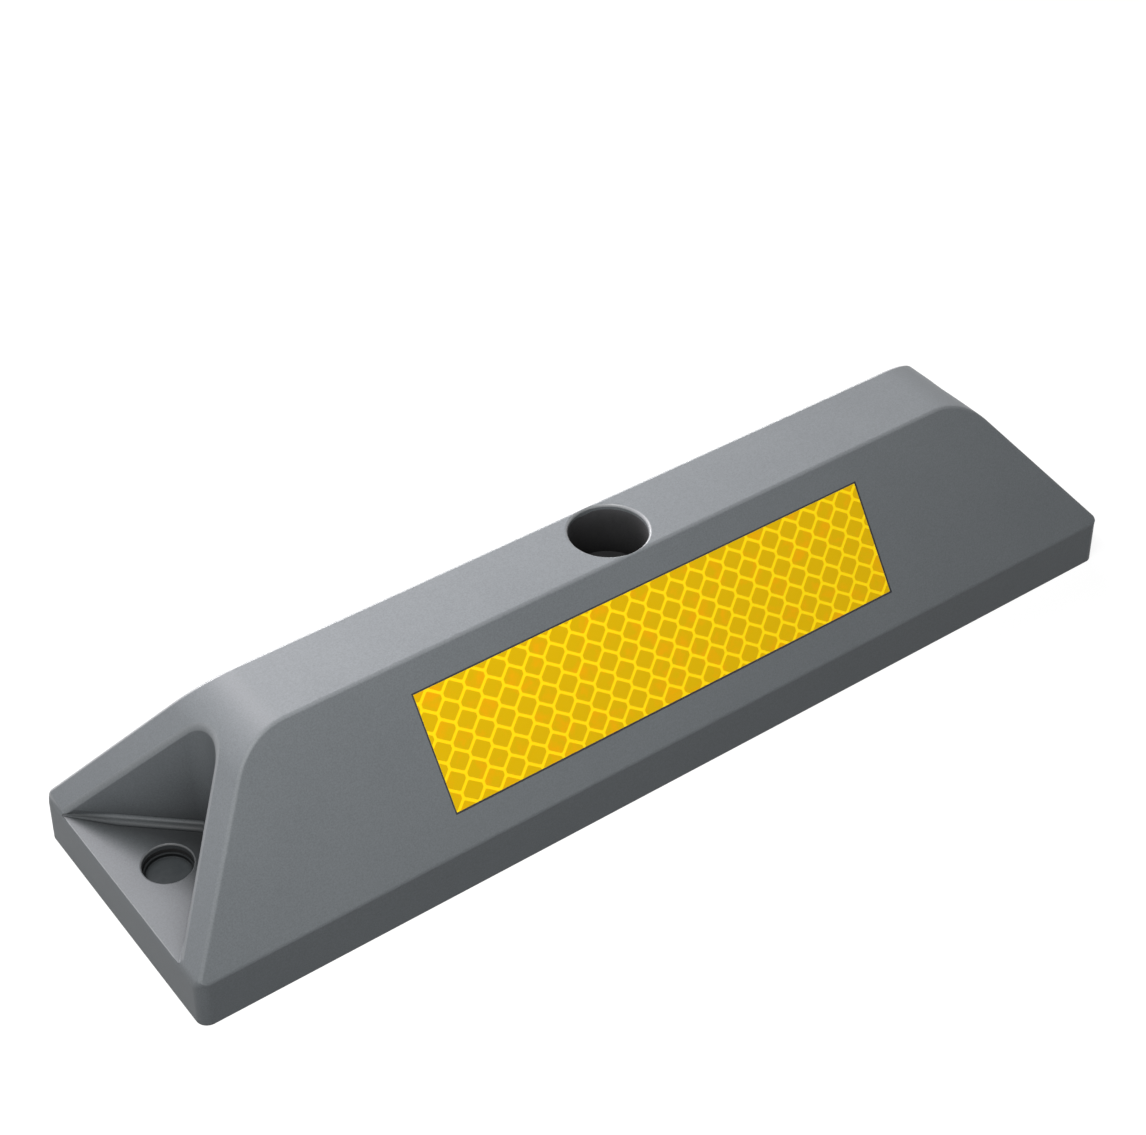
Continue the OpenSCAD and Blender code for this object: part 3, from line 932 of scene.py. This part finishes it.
def cell_tree():
    """The pattern of the sheet: cells in rows on a slanted grid, with seal lines between them."""
    group = bpy.data.node_groups.new("sheet cells", "GeometryNodeTree")
    for name, kind in (("Geometry", "NodeSocketGeometry"), ("Columns", "NodeSocketInt"),
                       ("Rows", "NodeSocketInt"), ("Outline", "NodeSocketObject"),
                       ("Corner radius", "NodeSocketFloat"), ("Foot", "NodeSocketFloat"),
                       ("Crown", "NodeSocketFloat"), ("First cell", "NodeSocketVector"),
                       ("Step down right", "NodeSocketVector"), ("Step down left", "NodeSocketVector"),
                       ("Finish", "NodeSocketMaterial")):
        group.interface.new_socket(name, in_out="INPUT", socket_type=kind)
    group.interface.new_socket("Geometry", in_out="OUTPUT", socket_type="NodeSocketGeometry")
    tree = Tree(group)
    given = tree.add("NodeGroupInput").outputs

    def joined(*parts):
        join = tree.add("GeometryNodeJoinGeometry")
        for part in parts:
            tree.feed(join.inputs["Geometry"], part)
        return join

    across = tree.add("GeometryNodeMeshGrid", {
        "Size X": tree.math("SUBTRACT", given["Columns"], 1.0), "Vertices X": given["Columns"],
        "Size Y": tree.math("SUBTRACT", given["Rows"], 1.0), "Vertices Y": given["Rows"]})
    between = tree.add("GeometryNodeTransform", {"Geometry": across, "Translation": HALF_STEP})
    spot = tree.parts(tree.add("GeometryNodeInputPosition"))
    place = given["First cell"]
    for step, share in (("Step down right", tree.math("ADD", spot["X"], spot["Y"])),
                        ("Step down left", tree.math("SUBTRACT", spot["Y"], spot["X"]))):
        moved = tree.scaled(given[step], share)
        place = tree.add("ShaderNodeVectorMath", {0: place, 1: moved}, operation="ADD")
    spots = tree.add("GeometryNodeSetPosition", {"Geometry": joined(across, between),
                                                 "Position": place})

    ring = tree.add("GeometryNodeObjectInfo", {"Object": given["Outline"]})
    line = tree.add("GeometryNodeMeshToCurve", {"Mesh": ring.outputs["Geometry"]})
    soft = tree.add("GeometryNodeFilletCurve", {
        "Curve": line, "Count": CELL_CORNER_STEPS, "Radius": given["Corner radius"]},
        mode="POLY")
    face = tree.add("GeometryNodeFillCurve", {"Curve": soft}, mode="NGONS")
    lowered = tree.add("ShaderNodeCombineXYZ", {"Z": given["Foot"]})
    low = tree.add("GeometryNodeTransform", {"Geometry": face, "Translation": lowered})
    edge_height = tree.math("MULTIPLY", tree.math("ADD", given["Foot"], given["Crown"]), -1.0)
    side = tree.add("GeometryNodeExtrudeMesh", {"Mesh": low, "Offset": UP,
                                                "Offset Scale": edge_height})
    crown = tree.add("GeometryNodeExtrudeMesh", {
        "Mesh": side, "Selection": side.outputs["Top"], "Offset": UP,
        "Offset Scale": given["Crown"]})
    crowned = tree.add("GeometryNodeScaleElements", {
        "Geometry": crown, "Selection": crown.outputs["Top"], "Scale": CELL_CROWN_SHARE})
    closing = tree.add("GeometryNodeFlipFaces", {"Mesh": low})
    cell = tree.add("GeometryNodeMergeByDistance", {
        "Geometry": joined(crowned, closing), "Distance": CELL_MERGE})

    placed = tree.add("GeometryNodeInstanceOnPoints", {"Points": spots, "Instance": cell})
    tone = tree.add("FunctionNodeRandomValue", {2: LOWEST_CELL_TONE, 3: 1.0, "Seed": CELL_SEED},
                    data_type="FLOAT")
    toned = tree.add("GeometryNodeStoreNamedAttribute", {
        "Geometry": placed, "Name": "cell_tone", "Value": tone.outputs[1]},
        data_type="FLOAT", domain="INSTANCE")
    real = tree.add("GeometryNodeRealizeInstances", {"Geometry": toned})
    finished = tree.add("GeometryNodeSetMaterial", {"Geometry": real, "Material": given["Finish"]})
    tree.add("NodeGroupOutput", {"Geometry": finished})
    return group


def cell_outline():
    """One cell: a square on its corner, with short upright flats at its left and right."""
    right = Vector(CELL_STEP_RIGHT)
    left = Vector(CELL_STEP_LEFT)
    across = (right - left) / 2
    flat = Vector((0, CELL_FLAT / 2))
    ring = [across - flat, across + flat, across - flat - right, -across + flat, -across - flat,
            across + flat + left]
    sides = [(i, (i + 1) % len(ring)) for i in range(len(ring))]
    inset = [moved_corner(ring[i - 1], ring[i], ring[j], SEAL_LINE_W / 2) for i, j in sides]
    mesh = bpy.data.meshes.new("cell_outline")
    mesh.from_pydata([(x, y, 0.0) for x, y in inset], sides, [])
    return put_in_scene("cell_outline", mesh)


def drop_crumbs(bm, smallest):
    """Deletes the loose bits that are narrower than a size, along the sheet or up it."""
    waiting = set(bm.verts)
    while waiting:
        island = {waiting.pop()}
        border = set(island)
        while border:
            border = {edge.other_vert(corner) for corner in border for edge in corner.link_edges} - island
            island |= border
        waiting -= island
        spans = [max(corner.co[axis] for corner in island) - min(corner.co[axis] for corner in island)
                 for axis in (0, 1)]
        if min(spans) < smallest:
            bmesh.ops.delete(bm, geom=list(island), context="VERTS")


def make_cells(finish):
    """All the cells of the sheet as one mesh, cut off at the sheet's edges and laid on the slope."""
    group = cell_tree()
    outline = cell_outline()
    cells = put_in_scene("cells", bpy.data.meshes.new("cells"))
    modifier = cells.modifiers.new("cells", "NODES")
    modifier.node_group = group
    values = {"Columns": CELL_COLUMNS, "Rows": CELL_ROWS, "Outline": outline, "Corner radius": CELL_CORNER_R,
              "Foot": -CELL_RELIEF - CELL_SUNK, "Crown": CELL_CROWN, "First cell": (*FIRST_CELL, 0.0),
              "Step down right": (*CELL_STEP_RIGHT, 0.0), "Step down left": (*CELL_STEP_LEFT, 0.0),
              "Finish": finish}
    for socket in group.interface.items_tree:
        if socket.in_out == "INPUT" and socket.name in values:
            modifier[socket.identifier] = values[socket.name]
    baked(cells)
    remove(outline)
    bm = bmesh.new()
    bm.from_mesh(cells.data)
    middle = Vector((0.0, SHEET_UP + SHEET_W / 2, 0.0))
    for step in (Vector((SHEET_HALF_L, 0, 0)), Vector((-SHEET_HALF_L, 0, 0)),
                 Vector((0, SHEET_W / 2, 0)), Vector((0, -SHEET_W / 2, 0))):
        bmesh.ops.bisect_plane(bm, geom=bm.verts[:] + bm.edges[:] + bm.faces[:], dist=CELL_CUT_MERGE,
                               plane_co=middle + step * CELL_CUT_SHARE, plane_no=step, clear_outer=True)
        bmesh.ops.holes_fill(bm, edges=[edge for edge in bm.edges if edge.is_boundary])
    drop_crumbs(bm, SMALLEST_CELL)
    bm.to_mesh(cells.data)
    bm.free()
    origin = on_front_slope(0.0, 0.0, 0.0)
    sides = [on_front_slope(*step) - origin for step in ((1, 0, 0), (0, 1, 0), (0, 0, 1))]
    cells.data.transform(Matrix.Translation(origin) @ Matrix(sides).transposed().to_4x4())
    return cells


def make_sheet(finish):
    """The reflective sheet: a thin film with its cells standing a little proud."""
    sheet = slope_slab("sheet", 0.0, -SHEET_T, -CELL_RELIEF, "cut")
    cells = make_cells(finish)
    bm = bmesh.new()
    bm.from_mesh(cells.data)
    bm.from_mesh(sheet.data)
    for face in bm.faces:
        face.material_index = 0
        face.smooth = False
    bm.to_mesh(sheet.data)
    bm.free()
    remove(cells)
    return to_metres(sheet)


def dress(piece, finish, body, node):
    """Gives a piece its material and its body, and hides the frame node that it stands for."""
    piece.data.materials.clear()
    piece.data.materials.append(finish)
    for polygon in piece.data.polygons:
        polygon.material_index = 0
    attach(piece, body)
    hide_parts(node)


def make_camera():
    """The camera, from its turn, its tilt and where it sees the block's origin."""
    ahead = Vector((
        math.sin(CAMERA_AZIMUTH) * math.cos(CAMERA_ELEVATION),
        math.cos(CAMERA_AZIMUTH) * math.cos(CAMERA_ELEVATION),
        -math.sin(CAMERA_ELEVATION),
    ))
    level = Vector((math.cos(CAMERA_AZIMUTH), -math.sin(CAMERA_AZIMUTH), 0.0))
    under = ahead.cross(level)
    right = math.cos(CAMERA_ROLL) * level + math.sin(CAMERA_ROLL) * under
    down = math.cos(CAMERA_ROLL) * under - math.sin(CAMERA_ROLL) * level
    place = -(ORIGIN_RIGHT * right + ORIGIN_DOWN * down + ORIGIN_AHEAD * ahead) * MM
    data = bpy.data.cameras.new("camera")
    data.lens = CAMERA_LENS
    data.sensor_width = CAMERA_SENSOR
    data.sensor_fit = "HORIZONTAL"
    data.clip_start = CAMERA_NEAREST
    camera = bpy.data.objects.new("camera", data)
    turn = Matrix((right, -down, -ahead)).transposed().to_4x4()
    camera.matrix_world = Matrix.Translation(place) @ turn
    bpy.context.scene.collection.objects.link(camera)
    bpy.context.scene.camera = camera


def background_rays(tree):
    """1 for the rays that should see the white background, 0 for those that light the object."""
    path = tree.add("ShaderNodeLightPath").outputs
    seen = tree.math("MAXIMUM", path["Is Camera Ray"], path["Is Glossy Ray"])
    return tree.math("MAXIMUM", seen, path["Is Transmission Ray"])


def make_world():
    """White where it is seen, and a soft even light for the object."""
    world = bpy.data.worlds.new("studio")
    tree = emptied(world)
    soft = tree.add("ShaderNodeBackground", {"Color": WHITE, "Strength": AMBIENT})
    white = tree.add("ShaderNodeBackground", {"Color": WHITE, "Strength": WORLD_SEEN})
    rays = background_rays(tree)
    mixed = tree.add("ShaderNodeMixShader", {0: rays, 1: soft, 2: white})
    tree.add("ShaderNodeOutputWorld", {"Surface": mixed})
    bpy.context.scene.world = world


def under_block(tree):
    """1 for the ground that the block covers, and 0 around it."""
    spot = tree.parts(tree.place())
    along = tree.math("LESS_THAN", tree.math("ABSOLUTE", spot["X"]), (HALF_L - SKIN_T) * MM)
    across = tree.math("LESS_THAN", tree.math("ABSOLUTE", spot["Y"]), (HALF_W - SKIN_T) * MM)
    return tree.math("MULTIPLY", along, across)


def make_floor():
    """A wide pale floor that looks white, takes the block's shadow and isn't seen from below."""
    bm = bmesh.new()
    bmesh.ops.create_grid(bm, x_segments=1, y_segments=1, size=FLOOR_HALF)
    mesh = bpy.data.meshes.new("floor")
    bm.to_mesh(mesh)
    bm.free()
    mesh.transform(Matrix.Translation((0.0, 0.0, -FLOOR_GAP)))
    floor = put_in_scene("floor", mesh)
    material = bpy.data.materials.new("floor")
    tree = emptied(material)
    dull = tree.add("ShaderNodeBsdfDiffuse", {"Color": (*FLOOR_BOUNCE, 1)})
    pale = tree.add("ShaderNodeBsdfDiffuse", {"Color": (*[FLOOR_PALE] * 3, 1)})
    glow = tree.add("ShaderNodeEmission", {"Color": WHITE, "Strength": FLOOR_GLOW})
    seen = tree.add("ShaderNodeAddShader", {0: pale, 1: glow})
    shown = tree.math("MULTIPLY", background_rays(tree), tree.math("SUBTRACT", 1.0, under_block(tree)))
    above = tree.add("ShaderNodeMixShader", {0: shown, 1: dull, 2: seen})
    below = tree.add("ShaderNodeBsdfTransparent", {"Color": WHITE})
    open_way = tree.math("MAXIMUM", tree.add("ShaderNodeNewGeometry").outputs["Backfacing"],
                         tree.add("ShaderNodeLightPath").outputs["Is Shadow Ray"])
    mixed = tree.add("ShaderNodeMixShader", {0: open_way, 1: above, 2: below})
    tree.add("ShaderNodeOutputMaterial", {"Surface": mixed})
    floor.data.materials.append(material)


def make_lamp(name, place, width, height, power, colour):
    """A soft lamp that faces the block and isn't seen itself."""
    data = bpy.data.lights.new(name, "AREA")
    data.shape = "RECTANGLE"
    data.size = width
    data.size_y = height
    data.energy = power
    data.color = colour
    lamp = bpy.data.objects.new(name, data)
    lamp.location = place
    lamp.rotation_euler = Vector(place).to_track_quat("Z", "Y").to_euler()
    lamp.visible_camera = False
    bpy.context.scene.collection.objects.link(lamp)


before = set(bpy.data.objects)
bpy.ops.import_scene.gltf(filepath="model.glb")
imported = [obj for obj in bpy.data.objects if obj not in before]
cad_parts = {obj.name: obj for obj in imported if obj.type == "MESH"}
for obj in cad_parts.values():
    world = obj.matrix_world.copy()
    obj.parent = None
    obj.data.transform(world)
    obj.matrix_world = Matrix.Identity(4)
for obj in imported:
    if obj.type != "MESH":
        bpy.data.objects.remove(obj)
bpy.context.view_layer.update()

moulded = (moulded_grain(), painted_shade_and_edge_highlights())
skin_grey = moulded_finish("skin grey", moulded, {
    "Colour": (0.195, 0.211, 0.222, 1), "Patch colour": (0.183, 0.198, 0.209, 1), "Patches per metre": 14,
    "Grains per metre": 1400, "Grain contrast": 0.1, "Smoothest": 0.42, "Roughest": 0.54},
    bump=0.00002, specular=0.22, local_tone=recess_painted_shadow)
core_black = moulded_finish("core black", moulded, {
    "Colour": (0.040, 0.040, 0.042, 1), "Patch colour": (0.052, 0.052, 0.054, 1), "Patches per metre": 30,
    "Grains per metre": 900, "Smoothest": 0.55, "Roughest": 0.75},
    bump=0.00006, specular=0.35, local_tone=bore_painted_light_tone)
backing_film = moulded_finish("backing film", moulded, {
    "Colour": (0.022, 0.024, 0.030, 1), "Patch colour": (0.030, 0.032, 0.040, 1), "Patches per metre": 120,
    "Grains per metre": 2000, "Smoothest": 0.3, "Roughest": 0.45},
    bump=0.00001, specular=0.5)
cap_grey = moulded_finish("cap grey", moulded, {
    "Colour": (0.036, 0.041, 0.044, 1), "Patch colour": (0.046, 0.051, 0.054, 1), "Patches per metre": 200,
    "Grains per metre": 1800, "Smoothest": 0.6, "Roughest": 0.72},
    bump=0.00003, specular=0.18, local_tone=rim_painted_shade)
sheet_yellow = sheet_finish()

dress(make_skin(), skin_grey, "block", "outer_skin")
dress(make_core(), core_black, "block", "core")
backing = to_metres(slope_slab("backing", BACKING_BORDER, -SHEET_T - BACKING_T, -SHEET_T, "cut"))
dress(backing, backing_film, "block", "sheet_backing")
dress(make_sheet(sheet_yellow), sheet_yellow, "block", "reflective_sheet")
dress(make_cap("left_cap_dish", -END_ANCHOR_X), cap_grey, "left_cap", "left_bolt_cap")
dress(make_cap("right_cap_dish", END_ANCHOR_X), cap_grey, "right_cap", "right_bolt_cap")

make_camera()
make_world()
make_floor()
for name, values in LAMPS.items():
    make_lamp(name, *values)
bpy.context.scene.view_settings.view_transform = "Standard"
